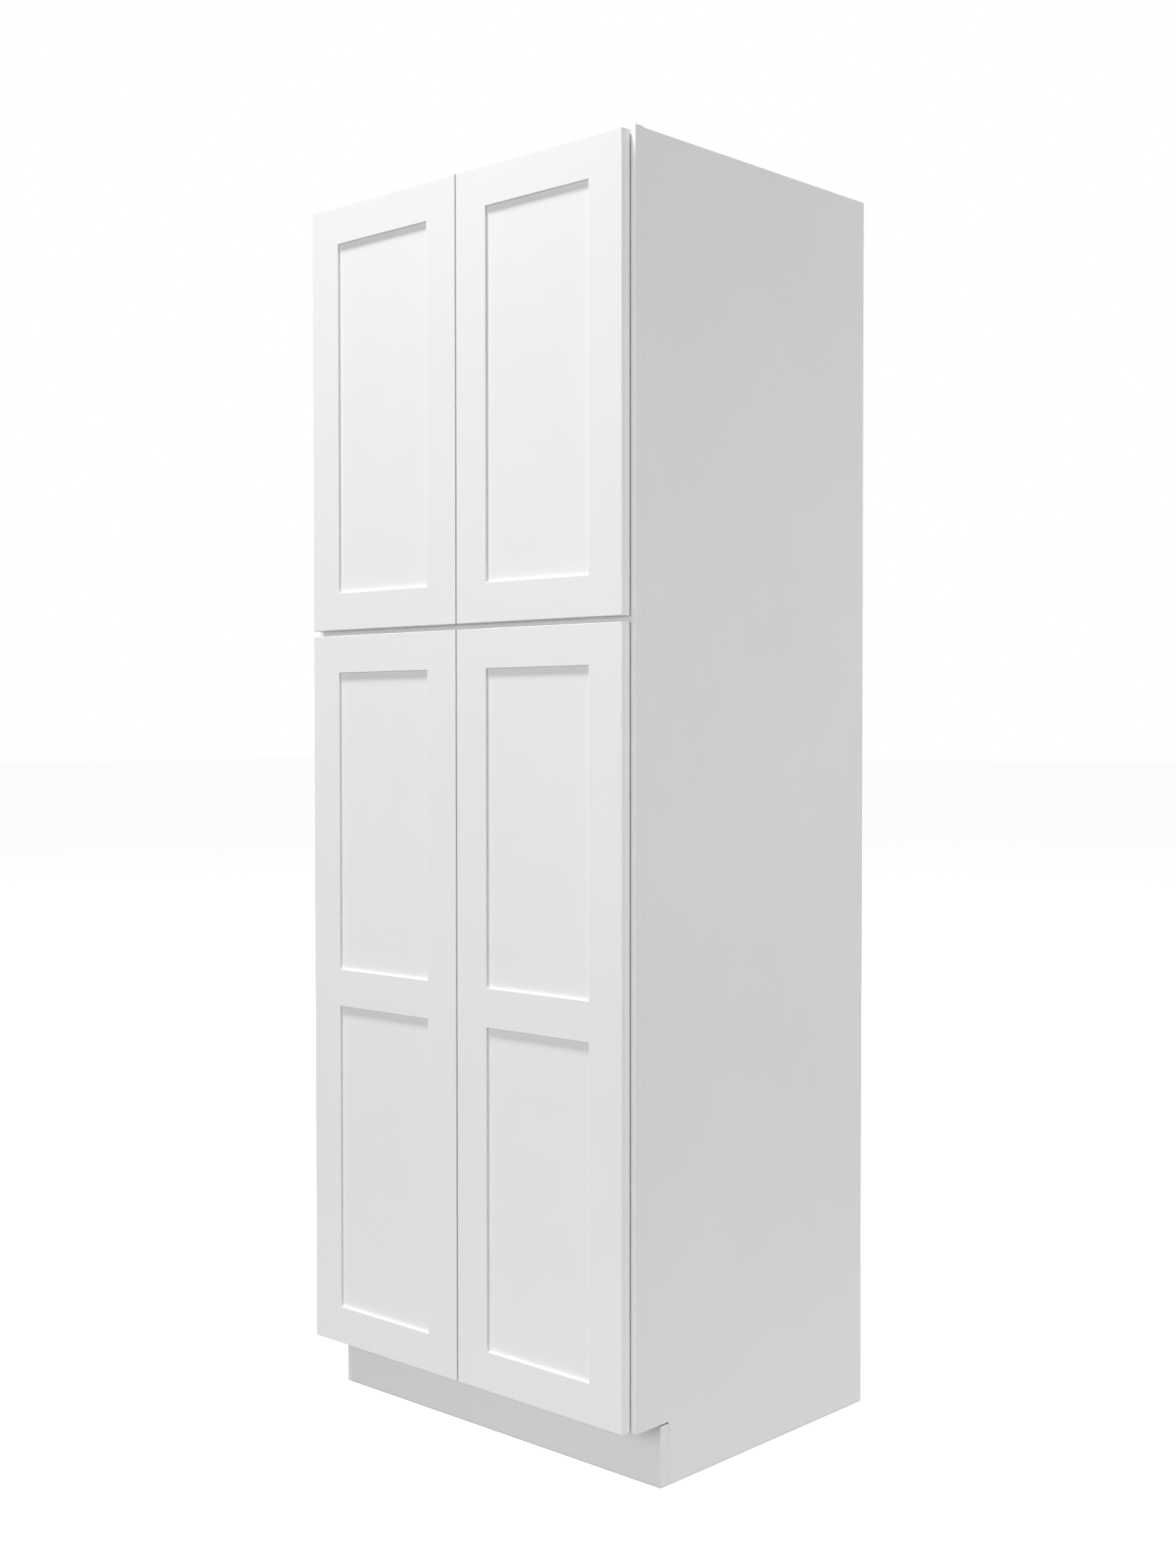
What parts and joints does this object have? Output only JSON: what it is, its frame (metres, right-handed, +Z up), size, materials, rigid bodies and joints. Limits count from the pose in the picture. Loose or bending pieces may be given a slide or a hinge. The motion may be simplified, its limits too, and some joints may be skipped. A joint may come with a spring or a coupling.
{
  "type": "pantry cabinet",
  "caption": "Tall framed pantry cabinet with paired shaker doors above and below, shelves inside and a recessed toe kick.",
  "frame": {"origin": "on the floor, under the middle of the cabinet (bottom centre of its bounding box)", "axes": "+Z up, +Y back towards the wall, +X to the right of a person facing the doors"},
  "size_m": [0.762, 0.6308, 2.1336],
  "materials": {
    "white_paint": "satin white paint on wood",
    "natural_plywood": "clear satin lacquer on maple plywood",
    "dowel_wood": "bare beech",
    "nickel_steel": "nickel-plated steel",
    "bumper_plastic": "frosted soft plastic"
  },
  "bodies": {
    "cabinet": {"back_panel": "natural_plywood", "bottom_deck": "natural_plywood", "dowels": "dowel_wood", "frame_bottom_rail": "white_paint", "frame_left_stile": "white_paint", "frame_middle_rail": "white_paint", "frame_right_stile": "white_paint", "frame_top_rail": "white_paint", "hanging_rails": "natural_plywood", "hinge_arms": "nickel_steel", "hinge_pins": "nickel_steel", "hinge_plate_screws": "nickel_steel", "hinge_springs": "nickel_steel", "left_side_panel": "white_paint", "lower_shelf_bottom": "natural_plywood", "lower_shelf_middle": "natural_plywood", "lower_shelf_top": "natural_plywood", "middle_deck": "natural_plywood", "right_side_panel": "white_paint", "shelf_pins": "nickel_steel", "toe_kick_board": "white_paint", "top_panel": "natural_plywood", "upper_shelf_bottom": "natural_plywood", "upper_shelf_top": "natural_plywood"},
    "upper_left_door": {"upper_left_bottom_rail": "white_paint", "upper_left_bumpers": "bumper_plastic", "upper_left_cup_screws": "nickel_steel", "upper_left_free_stile": "white_paint", "upper_left_hinge_cups": "nickel_steel", "upper_left_hinge_stile": "white_paint", "upper_left_panel": "white_paint", "upper_left_top_rail": "white_paint"},
    "upper_right_door": {"upper_right_bottom_rail": "white_paint", "upper_right_bumpers": "bumper_plastic", "upper_right_cup_screws": "nickel_steel", "upper_right_free_stile": "white_paint", "upper_right_hinge_cups": "nickel_steel", "upper_right_hinge_stile": "white_paint", "upper_right_panel": "white_paint", "upper_right_top_rail": "white_paint"},
    "lower_left_door": {"lower_left_bottom_panel": "white_paint", "lower_left_bottom_rail": "white_paint", "lower_left_bumpers": "bumper_plastic", "lower_left_cup_screws": "nickel_steel", "lower_left_free_stile": "white_paint", "lower_left_hinge_cups": "nickel_steel", "lower_left_hinge_stile": "white_paint", "lower_left_middle_rail": "white_paint", "lower_left_top_panel": "white_paint", "lower_left_top_rail": "white_paint"},
    "lower_right_door": {"lower_right_bottom_panel": "white_paint", "lower_right_bottom_rail": "white_paint", "lower_right_bumpers": "bumper_plastic", "lower_right_cup_screws": "nickel_steel", "lower_right_free_stile": "white_paint", "lower_right_hinge_cups": "nickel_steel", "lower_right_hinge_stile": "white_paint", "lower_right_middle_rail": "white_paint", "lower_right_top_panel": "white_paint", "lower_right_top_rail": "white_paint"}
  },
  "joints": [
    {"name": "upper_left_door_swing", "type": "hinge", "parent": "cabinet", "child": "upper_left_door", "pos_m": [-0.365, -0.30688, 1.75215], "axis": [0, 0, -1], "range_deg": [0, 100]},
    {"name": "upper_right_door_swing", "type": "hinge", "parent": "cabinet", "child": "upper_right_door", "pos_m": [0.365, -0.30688, 1.75215], "axis": [0, 0, 1], "range_deg": [0, 100]},
    {"name": "lower_left_door_swing", "type": "hinge", "parent": "cabinet", "child": "lower_left_door", "pos_m": [-0.365, -0.30688, 0.73665], "axis": [0, 0, -1], "range_deg": [0, 100]},
    {"name": "lower_right_door_swing", "type": "hinge", "parent": "cabinet", "child": "lower_right_door", "pos_m": [0.365, -0.30688, 0.73665], "axis": [0, 0, 1], "range_deg": [0, 100]}
  ]
}
